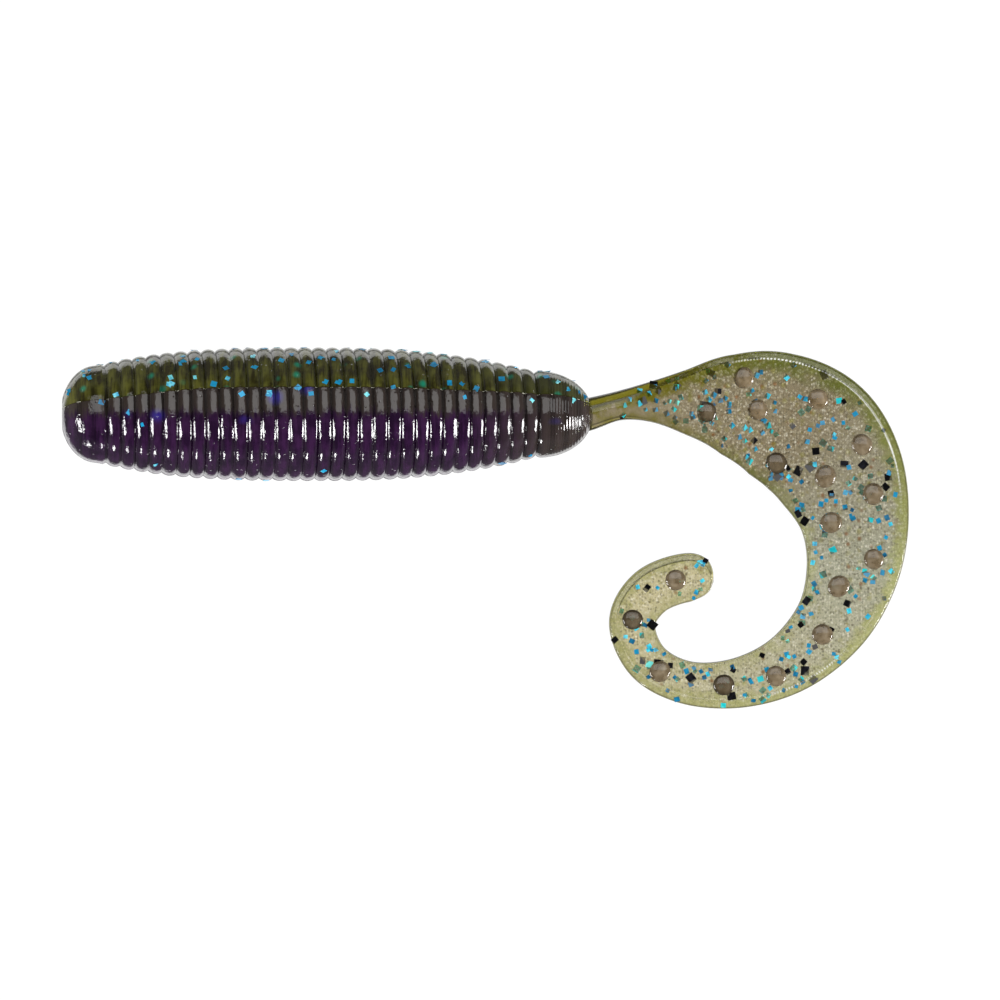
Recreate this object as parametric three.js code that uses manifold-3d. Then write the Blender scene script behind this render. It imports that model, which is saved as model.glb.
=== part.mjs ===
// Curly-tail grub: a soft plastic worm moulded in one, lying on its side.
// Millimetres, +Z up. X runs from the nose (-X) to the tail (+X), +Y is the fish's back
// and -Y its belly. The part lies on z = 0 and its box is centred on the origin.
//
// The ribbed body is two pours, an olive back over a purple belly, which meet on a long
// parting surface. The tail is a third, clearer pour: a thin neck and a flat curled ribbon
// that droops to the surface the part lies on. Soft plastic bends everywhere, so each pour
// is divided where it flexes: in rib grooves along the body, and between bumps on the tail.

import * as THREE from 'three';
import { mergeVertices } from 'three/addons/utils/BufferGeometryUtils.js';
import Module from 'manifold-3d';

const wasm = await Module();
wasm.setup();
const { clamp, lerp, smoothstep } = THREE.MathUtils;

// ---------- driving dimensions ----------

const gap = 0.3;                // clearance left between pieces that touch

const noseX = -44.5;            // flat face at the tip of the nose
const bodyY = 12;               // body axis across the part
const bodyRadius = 7;           // at the thickest rib, where the body lies on the surface
const thickestAt = 27;          // distances along the body are measured from the nose
const noseLength = 3.5;
const noseRadius = 5.1;         // where the rounded nose runs into the ribs
const noseFaceRadius = 1.9;     // flat left where the sprue is trimmed off
const bodyLength = 53;          // nose to the shoulder of the collar
const collarRadius = 3.5;
const frontSwell = 3.2;         // how late the body narrows ahead of its thickest rib
const rearSwell = 2.4;          // and behind it
const neckRadius = 1.7;
const shoulderLength = 2.2;     // rounded shoulder from collar down to neck

const ribCount = 31;
const ribPitch = 1.45;
const firstGroove = 4.4;
const ribDepth = 0.35;
const ribSlope = 0.3;           // from a groove up to the crest, as a share of the pitch

const partingHeight = 0.38;     // parting surface above the axis, as a share of the radius
const ballRatio = 1.12;         // ball end of a body joint over the radius of its groove
const bodyCutRibs = [6, 12, 20, 26];  // the body is divided in the grooves after these ribs
const bodySides = 20;
const ballSteps = 4;
const noseSteps = [0, 0.04, 0.14, 0.3, 0.55];  // profile points before the first groove
const shoulderSteps = [0, 0.35, 0.7];          // and down the shoulder
const pointSpacing = 0.1;       // least distance of a profile point from a joint's rim
const partingStep = 3;

const ribbonThickness = 1.2;
const neckThickness = 2.6;
const flatFrom = 14;            // distances along the tail are measured from the collar
const droopLength = 24;         // the tail reaches the surface here
const tipRound = 2.6;
const tipFlat = 0.03;           // square of the share of its width that the tip ends with
const edgeSquareness = 0.25;    // 1 is an oval ribbon, 0 a square one
const tailSides = 12;
const tailStep = 1.2;
const bumpRadius = 1.1;
const bumpHeight = 0.5;
const bumpSides = 8;

const weldDistance = 1e-4;
const tolerance = 1e-6;

// Centre line of the tail, from the collar round the curl to the tip: x, y, width.
const tailStations = [
  [10.6, 12.0, 3.4],
  [13.8, 12.9, 3.1],
  [17.3, 13.3, 4.4],
  [21.1, 13.3, 7.1],
  [25.2, 13.1, 10.6],
  [29.8, 12.1, 13.5],
  [34.3, 9.7, 14.6],
  [37.2, 5.6, 13.7],
  [38.7, 0.6, 11.5],
  [38.4, -4.7, 9.8],
  [36.3, -9.8, 8.1],
  [32.1, -14.0, 6.6],
  [26.8, -16.2, 5.4],
  [21.2, -16.3, 4.6],
  [16.9, -14.1, 4.6],
  [15.2, -10.0, 4.9],
  [17.1, -6.7, 5.2],
  [20.8, -5.2, 5.2],
  [23.8, -5.6, 5.0],
];

// Moulded bumps on the upper face: distance along the tail, distance left of its centre.
const tailBumps = [
  [12.5, -1.0], [16.0, 3.0], [18.0, 0.0], [22.5, -4.5], [23.0, 3.5], [28.0, 3.5],
  [29.0, -1.5], [32.5, 2.5], [34.5, -2.5], [38.5, 2.0], [42.0, -1.0], [47.5, 0.0],
  [54.0, 0.5], [59.5, 0.0], [66.5, 0.0], [73.0, 0.0], [79.5, 0.0],
];

// The tail is divided here, between its bumps.
const tailCuts = [6.5, 14.2, 20.2, 25.3, 31, 36.4, 44.5, 51, 57, 63.5, 70, 76.5];

// ---------- materials ----------

const soft = (name, color, roughness) =>
  new THREE.MeshStandardMaterial({ name, color, roughness, metalness: 0 });

const oliveBack = () => soft('olive_back', 0x4c5530, 0.25);
const purpleBelly = () => soft('purple_belly', 0x35203f, 0.25);
const clearTail = () => soft('clear_tail', 0xb3ab84, 0.3);

// ---------- solids ----------

// The same surface with its positions only, and each shared vertex held once.
function seamless(geometry) {
  geometry.deleteAttribute('normal');
  geometry.deleteAttribute('uv');
  return mergeVertices(geometry, weldDistance);
}

function solidOf(geometry) {
  const merged = seamless(geometry);
  const corners = merged.index.array;
  const triVerts = [];
  for (let i = 0; i < corners.length; i += 3) {
    const [a, b, c] = corners.slice(i, i + 3);
    if (a !== b && b !== c && c !== a) triVerts.push(a, b, c);
  }
  return new wasm.Manifold(new wasm.Mesh({
    numProp: 3,
    vertProperties: new Float32Array(merged.attributes.position.array),
    triVerts: new Uint32Array(triVerts),
  }));
}

function geometryOf(solid) {
  const { vertProperties, triVerts } = solid.getMesh();
  const geometry = new THREE.BufferGeometry();
  geometry.setAttribute('position', new THREE.BufferAttribute(vertProperties, 3));
  geometry.setIndex(new THREE.BufferAttribute(triVerts, 1));
  geometry.computeVertexNormals();
  return geometry;
}

function meshOf(name, solid, material) {
  const mesh = new THREE.Mesh(geometryOf(solid), material);
  mesh.name = name;
  return mesh;
}

// Turns a profile of [distance behind the nose, radius] points about the body's axis.
function turned(profile) {
  const points = profile.map(([along, radius]) => new THREE.Vector2(radius, along));
  const solid = new THREE.LatheGeometry(points, bodySides);
  return solidOf(solid.rotateZ(-Math.PI / 2).translate(noseX, bodyY, bodyRadius));
}

// ---------- body ----------

// Radius over the rib crests, at a distance behind the nose.
function crestRadius(along) {
  if (along < noseLength) {
    const faceShare = Math.sqrt(1 - (noseFaceRadius / noseRadius) ** 2);
    const share = faceShare * (1 - along / noseLength);
    return noseRadius * Math.sqrt(1 - share ** 2);
  }
  if (along < thickestAt) {
    const share = (thickestAt - along) / (thickestAt - noseLength);
    return bodyRadius - (bodyRadius - noseRadius) * share ** frontSwell;
  }
  if (along < bodyLength) {
    const share = (along - thickestAt) / (bodyLength - thickestAt);
    return bodyRadius - (bodyRadius - collarRadius) * share ** rearSwell;
  }
  const share = Math.min((along - bodyLength) / shoulderLength, 1);
  return neckRadius + (collarRadius - neckRadius) * (1 + Math.cos(Math.PI * share)) / 2;
}

const grooveAt = (rib) => firstGroove + rib * ribPitch;
const grooveRadius = (along) => crestRadius(along) - ribDepth;

// A joint in the body is a ball in a socket that meet at a groove. The piece nearer the
// middle of the body has the socket, and the ball's centre lies inside the other piece.
// `side` is -1 where the ball is on the nose side of its groove, and 1 on the tail side.
function bodyJoint(along, rim, side) {
  const radius = ballRatio * rim;
  const center = along + side * Math.sqrt(radius ** 2 - rim ** 2);
  return { rim, side, radius, center };
}

const bodyJoints = bodyCutRibs.map((rib, i) =>
  bodyJoint(grooveAt(rib), grooveRadius(grooveAt(rib)), i < 2 ? -1 : 1));
const neckJoint = bodyJoint(bodyLength + shoulderLength, neckRadius, 1);

// Arc of the ball (or, wider by the gap, of its socket) from the axis out to the rim.
function ballArc(joint, radius) {
  const widest = Math.asin(joint.rim / radius);
  return Array.from({ length: ballSteps + 1 }, (_, i) => {
    const angle = widest * i / ballSteps;
    return [joint.center - joint.side * radius * Math.cos(angle), radius * Math.sin(angle)];
  });
}

const socketArc = (joint) => ballArc(joint, joint.radius + gap);

// The outer profile of the whole body: rounded nose, ribs, smooth collar and its shoulder.
function outerProfile() {
  const onCrest = (along) => [along, crestRadius(along)];
  const profile = noseSteps.map((share) => onCrest(share * firstGroove));
  for (let rib = 0; rib <= ribCount; rib += 1) {
    const groove = grooveAt(rib);
    profile.push([groove, grooveRadius(groove)], onCrest(groove + ribSlope * ribPitch));
    if (rib < ribCount) profile.push(onCrest(groove + (1 - ribSlope) * ribPitch));
  }
  profile.push(...shoulderSteps.map((share) => onCrest(bodyLength + share * shoulderLength)));
  return profile;
}

// Everything on one side of the parting surface: side is 1 for the back, -1 for the belly.
function partingSide(side) {
  const outline = new THREE.Shape();
  const beyond = 2 * bodyRadius;  // clear of the body
  const end = bodyLength + beyond;
  outline.moveTo(noseX - partingStep, bodyY + side * beyond);
  for (let along = -partingStep; along <= end; along += partingStep) {
    const height = partingHeight * crestRadius(Math.max(along, 0)) + side * gap / 2;
    outline.lineTo(noseX + along, bodyY + height);
  }
  outline.lineTo(noseX + end, bodyY + side * beyond);
  outline.closePath();
  const depth = bodyRadius + beyond;
  return solidOf(new THREE.ExtrudeGeometry(outline, { depth, bevelEnabled: false }));
}

// A stretch of the body between two ends, each an arc from the axis out to a rim.
function stretch(frontArc, rearArc) {
  const from = frontArc.at(-1)[0] + pointSpacing;
  const to = rearArc.at(-1)[0] - pointSpacing;
  const skin = outerProfile().filter(([along]) => along > from && along < to);
  return turned([...frontArc, ...skin, ...rearArc.reverse()]);
}

function bodyStretches() {
  const [noseJoint, foreJoint, aftJoint, rumpJoint] = bodyJoints;
  const noseFace = [[0, 0], [0, noseFaceRadius]];
  return {
    nose: stretch(noseFace, ballArc(noseJoint, noseJoint.radius)),
    fore: stretch(socketArc(noseJoint), ballArc(foreJoint, foreJoint.radius)),
    middle: stretch(socketArc(foreJoint), socketArc(aftJoint)),
    aft: stretch(ballArc(aftJoint, aftJoint.radius), socketArc(rumpJoint)),
    rump: stretch(ballArc(rumpJoint, rumpJoint.radius), socketArc(neckJoint)),
  };
}

// ---------- tail ----------

const tailLine = new THREE.CatmullRomCurve3(
  tailStations.map(([x, y]) => new THREE.Vector3(x, y, 0)), false, 'catmullrom');
const tailWidths = new THREE.CatmullRomCurve3(
  tailStations.map(([, , width]) => new THREE.Vector3(width, 0, 0)), false, 'catmullrom');
tailLine.arcLengthDivisions = 600;
const tailLength = tailLine.getLength();

// Centre, directions, half width and half thickness at a distance along the tail. The line
// runs straight on before the collar, so that the neck can end in a ball inside it.
function tailSection(along) {
  const share = clamp(along / tailLength, 0, 1);
  const ahead = tailLine.getTangentAt(share);
  const center = tailLine.getPointAt(share).addScaledVector(ahead, Math.min(along, 0));
  const left = new THREE.Vector3(-ahead.y, ahead.x, 0);
  const flat = smoothstep(along, 0, flatFrom);
  const halfThickness = lerp(neckThickness, ribbonThickness, flat) / 2;
  center.z = lerp(bodyRadius, halfThickness, smoothstep(along, 0, droopLength));
  const intoTip = Math.max(along - (tailLength - tipRound), 0) / tipRound;
  const width = tailWidths.getPoint(tailLine.getUtoTmapping(share)).x;
  const halfWidth = width / 2 * Math.sqrt(1 + tipFlat - intoTip ** 2);
  return { center, ahead, left, flat, halfWidth, halfThickness };
}

// A cylinder bent along the tail and pressed flat: oval at the neck, a ribbon with rounded
// edges and flat faces further on. Both of its ends stand back by half a gap.
function ribbonSolid(from, to, steps) {
  const cylinder = seamless(new THREE.CylinderGeometry(1, 1, 1, tailSides, steps));
  const position = cylinder.attributes.position;
  const flatAt = Math.sin(Math.PI / 3);
  for (let i = 0; i < position.count; i += 1) {
    const share = position.getY(i) + 0.5;
    const along = lerp(from, to, share);
    const { center, ahead, left, flat, halfWidth, halfThickness } = tailSection(along);
    const squareness = lerp(1, edgeSquareness, flat);
    const press = (value) =>
      (Math.abs(value) < tolerance ? 0 : Math.sign(value) * Math.abs(value) ** squareness);
    const across = -press(position.getX(i)) * halfWidth;
    const full = lerp(1, flatAt ** squareness, flat);
    const up = clamp(press(position.getZ(i)) / full, -1, 1) * halfThickness;
    let setBack = 0;
    if (share < tolerance) setBack = gap / 2;
    if (share > 1 - tolerance) setBack = -gap / 2;
    center.addScaledVector(left, across).addScaledVector(ahead, setBack);
    position.setXYZ(i, center.x, center.y, center.z + up);
  }
  return solidOf(cylinder);
}

// A low dome on the upper face of the ribbon.
function bumpSolid([along, across]) {
  const { center, left, halfThickness } = tailSection(along);
  center.addScaledVector(left, across);
  const dome = new THREE.SphereGeometry(bumpRadius, bumpSides, bumpSides / 2);
  dome.rotateX(Math.PI / 2).scale(1, 1, bumpHeight / bumpRadius);
  return solidOf(dome.translate(center.x, center.y, center.z + halfThickness));
}

// The space that the neck fills: its ball inside the collar, and everything behind that.
function neckRegion() {
  const end = neckJoint.center + 2 * tailCuts[0];
  const wide = 2 * neckJoint.radius;
  const front = ballArc(neckJoint, neckJoint.radius);
  return turned([...front, [neckJoint.center, wide], [end, wide], [end, 0]]);
}

function tailPieces() {
  const ends = [-neckRadius, ...tailCuts, tailLength];
  return ends.slice(1).map((to, i) => {
    const from = ends[i];
    let piece = ribbonSolid(from, to, Math.round((to - from) / tailStep));
    if (i === 0) piece = piece.intersect(neckRegion());
    for (const bump of tailBumps) {
      if (bump[0] > from && bump[0] < to) piece = piece.add(bumpSolid(bump));
    }
    return piece;
  });
}

function tailName(index, count) {
  if (index === 0) return 'tail_neck';
  if (index === count - 1) return 'tail_tip';
  return `tail_ribbon_${String(index).padStart(2, '0')}`;
}

// ---------- assembly ----------

const grub = new THREE.Group();
grub.name = 'curly_tail_grub';

for (const [name, solid] of Object.entries(bodyStretches())) {
  grub.add(meshOf(`${name}_back`, solid.intersect(partingSide(1)), oliveBack()));
  grub.add(meshOf(`${name}_belly`, solid.intersect(partingSide(-1)), purpleBelly()));
}

tailPieces().forEach((piece, i, all) => {
  grub.add(meshOf(tailName(i, all.length), piece, clearTail()));
});

export default grub;
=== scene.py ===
import math
import random

import bmesh
import bpy
from mathutils import Matrix, Vector


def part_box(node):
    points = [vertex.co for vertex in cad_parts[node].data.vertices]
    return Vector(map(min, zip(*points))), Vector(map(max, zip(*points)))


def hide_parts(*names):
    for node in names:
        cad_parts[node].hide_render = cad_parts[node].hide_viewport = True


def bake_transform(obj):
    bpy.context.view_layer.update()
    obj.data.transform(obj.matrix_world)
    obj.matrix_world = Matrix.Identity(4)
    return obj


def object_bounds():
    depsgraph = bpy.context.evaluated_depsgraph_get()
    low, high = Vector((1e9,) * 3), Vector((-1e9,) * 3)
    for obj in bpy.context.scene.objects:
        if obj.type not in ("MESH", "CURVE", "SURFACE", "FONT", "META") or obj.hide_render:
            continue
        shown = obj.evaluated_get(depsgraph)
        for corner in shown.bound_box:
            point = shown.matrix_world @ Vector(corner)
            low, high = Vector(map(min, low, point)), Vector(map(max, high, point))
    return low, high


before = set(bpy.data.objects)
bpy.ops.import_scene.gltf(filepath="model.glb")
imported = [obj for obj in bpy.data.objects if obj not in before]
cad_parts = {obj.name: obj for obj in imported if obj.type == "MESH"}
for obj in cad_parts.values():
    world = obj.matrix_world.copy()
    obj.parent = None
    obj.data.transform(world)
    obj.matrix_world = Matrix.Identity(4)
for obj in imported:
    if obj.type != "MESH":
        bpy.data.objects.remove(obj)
cad_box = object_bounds()
MM = 0.001

# ---------- light table, lamps and camera ----------
# The grub lies on a lit white table. A dim softbox stands behind it, a strong one at each
# end and a small one low in front, and the camera looks straight down from above.

middle = (cad_box[0] + cad_box[1]) / 2
PICTURE_SIDE = 104.7 * MM  # what the camera sees across, at the height of the body's axis
CAMERA_RISE = 800 * MM
SENSOR = 36.0
TABLE_GAP = 0.05 * MM


def lamp(name, toward, distance, width, height, radiance):
    """A softbox that faces the grub from a direction, as bright as radiance says."""
    data = bpy.data.lights.new(name, "AREA")
    data.shape = "RECTANGLE"
    data.size, data.size_y = width, height
    data.energy = radiance * math.pi * width * height
    made = bpy.data.objects.new(name, data)
    direction = Vector(toward).normalized()
    made.location = middle + direction * distance
    made.rotation_euler = direction.to_track_quat("Z", "Y").to_euler()
    bpy.context.scene.collection.objects.link(made)


lamp("softbox_behind", (0, 0.42, 0.9), 0.5, 0.62, 0.36, 2.4)
lamp("softbox_tail_end", (0.9, -0.315, 0.26), 0.5, 0.2, 0.14, 44)
lamp("softbox_nose_end", (-0.9, -0.315, 0.36), 0.5, 0.2, 0.1, 34)
lamp("lamp_low_in_front", (-0.6, -0.95, 0.08), 0.5, 0.06, 0.1, 44)

camera_data = bpy.data.cameras.new("camera")
camera_data.sensor_width = SENSOR
camera_data.lens = CAMERA_RISE / PICTURE_SIDE * SENSOR
camera_data.clip_end = 10
camera = bpy.data.objects.new("camera", camera_data)
camera.location = (middle.x + 1.26 * MM, middle.y + 3.04 * MM, middle.z + CAMERA_RISE)
bpy.context.scene.collection.objects.link(camera)
bpy.context.scene.camera = camera
bpy.context.scene.view_settings.view_transform = "Standard"


def linear(hex_colour):
    """The linear colour of an sRGB hex value."""
    parts = [int(hex_colour[i:i + 2], 16) / 255 for i in (1, 3, 5)]
    curve = [c / 12.92 if c <= 0.04045 else ((c + 0.055) / 1.055) ** 2.4 for c in parts]
    return (*curve, 1)


def add_node(tree, kind, settings=None, links=None):
    """A shader node with its settings and its links from other nodes' outputs."""
    made = tree.nodes.new("ShaderNode" + kind)
    for name, value in (settings or {}).items():
        if isinstance(name, str) and hasattr(made, name):
            setattr(made, name, value)
        else:
            made.inputs[name].default_value = value
    for name, output in (links or {}).items():
        tree.links.new(output, made.inputs[name])
    return made


def new_material(name):
    """An empty material: its node tree and the socket its surface goes to."""
    made = bpy.data.materials.new(name)
    made.use_nodes = True
    made.node_tree.nodes.clear()
    surface = made.node_tree.nodes.new("ShaderNodeOutputMaterial").inputs["Surface"]
    return made, made.node_tree, surface


# Opal acrylic lit from below through a louvre film, whose louvres lean back a little. It
# looks plain white, but throws its light steeply, so the grub mirrors it only low down.
LOUVRE_LEAN = 0.18
LOUVRE_LIGHT = 1.8
acrylic, tree, surface = new_material("opal_acrylic_light_table")
lean = add_node(tree, "CombineXYZ", {"Y": -LOUVRE_LEAN, "Z": 1.0})
lean = add_node(tree, "VectorMath", {"operation": "NORMALIZE"}, {0: lean.outputs[0]})
slant = add_node(tree, "LayerWeight", {"Blend": 0.5}, {"Normal": lean.outputs[0]})
louvres = add_node(tree, "ValToRGB", {}, {0: slant.outputs["Facing"]})
ramp = louvres.color_ramp
ramp.elements[0].position, ramp.elements[0].color = 0.04, (0.545, 0.545, 0.545, 1)
ramp.elements[1].position, ramp.elements[1].color = 0.06, (0.1, 0.1, 0.1, 1)
for position, light in ((0.09, 0.1), (0.12, 0.9), (0.31, 1.0), (0.36, 0.06)):
    ramp.elements.new(position).color = (light, light, light, 1)
shine = add_node(tree, "Math", {"operation": "MULTIPLY", 1: LOUVRE_LIGHT},
                 {0: louvres.outputs[0]})
seen = add_node(tree, "LightPath").outputs["Is Camera Ray"]
shine = add_node(tree, "Mix", {"data_type": "FLOAT", 3: 0.97},
                 {0: seen, 2: shine.outputs[0]})
sheet = add_node(tree, "BsdfPrincipled", {
    "Base Color": linear("#404040"), "Roughness": 0.9, "Emission Color": (1, 1, 1, 1)},
    {"Emission Strength": shine.outputs[0]})
tree.links.new(sheet.outputs[0], surface)

bm = bmesh.new()
bmesh.ops.create_grid(bm, x_segments=1, y_segments=1, size=20)
table_mesh = bpy.data.meshes.new("light_table")
bm.to_mesh(table_mesh)
bm.free()
table_mesh.materials.append(acrylic)
table = bpy.data.objects.new("light_table", table_mesh)
table.location.z = cad_box[0].z - TABLE_GAP
bpy.context.scene.collection.objects.link(table)

# The room is dark above the table and pale round its edge.
world = bpy.data.worlds.new("room")
bpy.context.scene.world = world
world.use_nodes = True
tree = world.node_tree
tree.nodes.clear()
direction = add_node(tree, "SeparateXYZ", {}, {
    0: add_node(tree, "TexCoord").outputs["Generated"]})
height = add_node(tree, "MapRange", {
    "From Min": 0.0, "From Max": 0.5, "To Min": 0.32, "To Max": 0.07,
    "interpolation_type": "SMOOTHSTEP"}, {"Value": direction.outputs["Z"]})
glow = add_node(tree, "Background", {"Color": (1, 1, 1, 1)}, {"Strength": height.outputs[0]})
room = tree.nodes.new("ShaderNodeOutputWorld")
tree.links.new(glow.outputs[0], room.inputs["Surface"])


# ---------- ribbed body ----------
# The body is soft PVC poured into a two-plate mould: an olive back over a purple belly,
# which weld on a long parting line. Each rib is a round ring with a sharp groove between.

axis_y = (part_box("middle_belly")[0].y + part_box("middle_back")[1].y) / 2
axis_z = (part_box("middle_belly")[0].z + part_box("middle_belly")[1].z) / 2
nose_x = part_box("nose_belly")[0].x

BODY_RADIUS = axis_z - cad_box[0].z
THICKEST_AT = 27 * MM  # distances along the body are measured from the nose
NOSE_LENGTH = 3.5 * MM
NOSE_RADIUS = 5.1 * MM
NOSE_FACE_RADIUS = 1.9 * MM
BODY_LENGTH = 53 * MM
COLLAR_RADIUS = 3.5 * MM
RIB_COUNT = 31
RIB_PITCH = 1.45 * MM
FIRST_GROOVE = 4.4 * MM
RIB_DEPTH = 0.29 * MM
COLLAR_LENGTH = 6.1 * MM  # from the last groove to the rounded end behind the neck
PARTING_ANGLE = math.acos(0.4)  # of the parting line, from straight along the back
RIB_LEAN = 0.105  # the ribs lean towards the tail over the top of the body
RIB_TURN = 0.02  # and run a little towards it down the belly side
RIB_STEPS = 12
NOSE_STEPS = 24
COLLAR_STEPS = 40
CREST_SPAN = 0.78  # how much of a quarter circle each side of a crest turns through
TURN_STEP = math.radians(2.5)
TOOL_MARK_PITCH = 0.3  # in mm


def crest_radius(along):
    """Radius over the rib crests."""
    if along < NOSE_LENGTH:
        face_share = math.sqrt(1 - (NOSE_FACE_RADIUS / NOSE_RADIUS) ** 2)
        share = face_share * (1 - along / NOSE_LENGTH)
        return NOSE_RADIUS * math.sqrt(1 - share ** 2)
    if along < THICKEST_AT:
        share = (THICKEST_AT - along) / (THICKEST_AT - NOSE_LENGTH)
        return BODY_RADIUS - (BODY_RADIUS - NOSE_RADIUS) * share ** 3.2
    share = (along - THICKEST_AT) / (BODY_LENGTH - THICKEST_AT)
    return BODY_RADIUS - (BODY_RADIUS - COLLAR_RADIUS) * share ** 2.4


def smooth(value, start, end):
    """0 before start, 1 after end, and a smooth step between them."""
    share = min(max((value - start) / (end - start), 0), 1)
    return share * share * (3 - 2 * share)


def groove_at(rib):
    return FIRST_GROOVE + rib * RIB_PITCH


rib_wear = random.Random(4)
rib_depths = [RIB_DEPTH * rib_wear.uniform(0.85, 1.1) for _ in range(RIB_COUNT + 1)]


def skin_radius(along):
    """Radius of the moulded skin: smooth nose, round ribs, and a bullet-shaped collar."""
    if along < FIRST_GROOVE:
        return crest_radius(along)
    rib = int((along - FIRST_GROOVE) / RIB_PITCH + 1e-6)
    if rib < RIB_COUNT:
        off_crest = abs(2 * (along - groove_at(rib)) / RIB_PITCH - 1)
        drop = 1 - math.sqrt(1 - (CREST_SPAN * off_crest) ** 2)
        full_drop = 1 - math.sqrt(1 - CREST_SPAN ** 2)
        return crest_radius(along) - rib_depths[rib] * drop / full_drop
    share = min((along - groove_at(RIB_COUNT)) / COLLAR_LENGTH, 1)
    groove = RIB_DEPTH * max(1 - share / 0.1, 0) ** 2
    return crest_radius(groove_at(RIB_COUNT)) * math.sqrt(1 - share ** 2.2) - groove


def stretch_points(first_rib, last_rib):
    """The outer profile of a stretch of the body, closed on the axis at both ends."""
    places = [groove_at(first_rib)]
    if first_rib == 0:
        places = [FIRST_GROOVE * (step / NOSE_STEPS) ** 2 for step in range(NOSE_STEPS + 1)]
    for rib in range(first_rib, min(last_rib, RIB_COUNT)):
        places += [groove_at(rib) + RIB_PITCH * step / RIB_STEPS
                   for step in range(1, RIB_STEPS + 1)]
    if last_rib > RIB_COUNT:
        places += [groove_at(RIB_COUNT)
                   + COLLAR_LENGTH * math.sin(step / COLLAR_STEPS * math.pi / 2)
                   for step in range(1, COLLAR_STEPS)]
        places.append(groove_at(RIB_COUNT) + 0.9999 * COLLAR_LENGTH)
    outside = [(along, skin_radius(along)) for along in places]
    return [(places[0], 0.0), *outside, (places[-1], 0.0)]


def on_body(along, radius, angle):
    """A point by its distance behind the nose, its radius and its angle from the back."""
    off = Vector((0, radius * math.cos(angle), radius * math.sin(angle)))
    lean = RIB_LEAN * off.z - RIB_TURN * off.y
    return Vector((nose_x + along + lean * smooth(along, 0, FIRST_GROOVE), axis_y, axis_z)) + off


def poured(along, angle):
    """The angle as it is on the skin, where the parting line sinks to the nose."""
    height = 0.25 + 0.15 * smooth(along, -3 * MM, 17 * MM) + 0.05 * smooth(along, 40 * MM, 50 * MM)
    parting = math.acos(height)
    if abs(angle) <= PARTING_ANGLE:
        return angle * parting / PARTING_ANGLE
    under = math.pi - (angle % (2 * math.pi))
    return math.pi - under * (math.pi - parting) / (math.pi - PARTING_ANGLE)


def keep_places(bm):
    """Stores where each point was moulded, in millimetres, so that a pattern bends along."""
    layer = bm.verts.layers.float_vector.new("moulded_at")
    for vert in bm.verts:
        vert[layer] = vert.co / MM


def piece(bm, name, material):
    """A finished mesh as an object with one material: smooth but for its sharp edges."""
    for face in bm.faces:
        face.smooth = True
    for edge in bm.edges:
        if edge.is_manifold and edge.calc_face_angle() > math.radians(35):
            edge.smooth = False
    keep_places(bm)
    mesh = bpy.data.meshes.new(name)
    bm.to_mesh(mesh)
    bm.free()
    mesh.materials.append(material)
    made = bpy.data.objects.new(name, mesh)
    bpy.context.scene.collection.objects.link(made)
    return made


def poured_stretch(name, points, start_angle, sweep, material):
    """One pour's share of a stretch: its profile turned about the axis, a closed wedge."""
    bm = bmesh.new()
    start = Matrix.Rotation(start_angle, 3, "X")
    corners = [bm.verts.new(start @ Vector((along, radius, 0))) for along, radius in points]
    profile = bm.faces.new(corners)
    bmesh.ops.spin(bm, geom=[profile, *profile.edges, *corners], angle=sweep,
                   cent=(0, 0, 0), axis=(1, 0, 0), dvec=(0, 0, 0),
                   steps=round(sweep / TURN_STEP), use_merge=False, use_duplicate=False)
    bmesh.ops.remove_doubles(bm, verts=bm.verts, dist=1e-7)
    for vert in bm.verts:
        along, off = vert.co.x, vert.co.yz
        vert.co = on_body(along, off.length, poured(along, math.atan2(off.y, off.x)))
    bmesh.ops.recalc_face_normals(bm, faces=bm.faces)
    return piece(bm, name, material)


def off_the_groove(tree, place):
    """Distance in mm from the nearest groove, at a place on the leaning ribs."""
    rib = add_node(tree, "VectorMath", {"operation": "SUBTRACT", 1: (
        (nose_x + FIRST_GROOVE) / MM, axis_y / MM, axis_z / MM)}, {0: place})
    rib = add_node(tree, "VectorMath", {"operation": "DOT_PRODUCT",
                                        1: (1, RIB_TURN, -RIB_LEAN)}, {0: rib.outputs[0]})
    distance = add_node(tree, "Math", {"operation": "PINGPONG", 1: RIB_PITCH / MM / 2},
                        {0: rib.outputs["Value"]})
    return distance.outputs[0]


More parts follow.
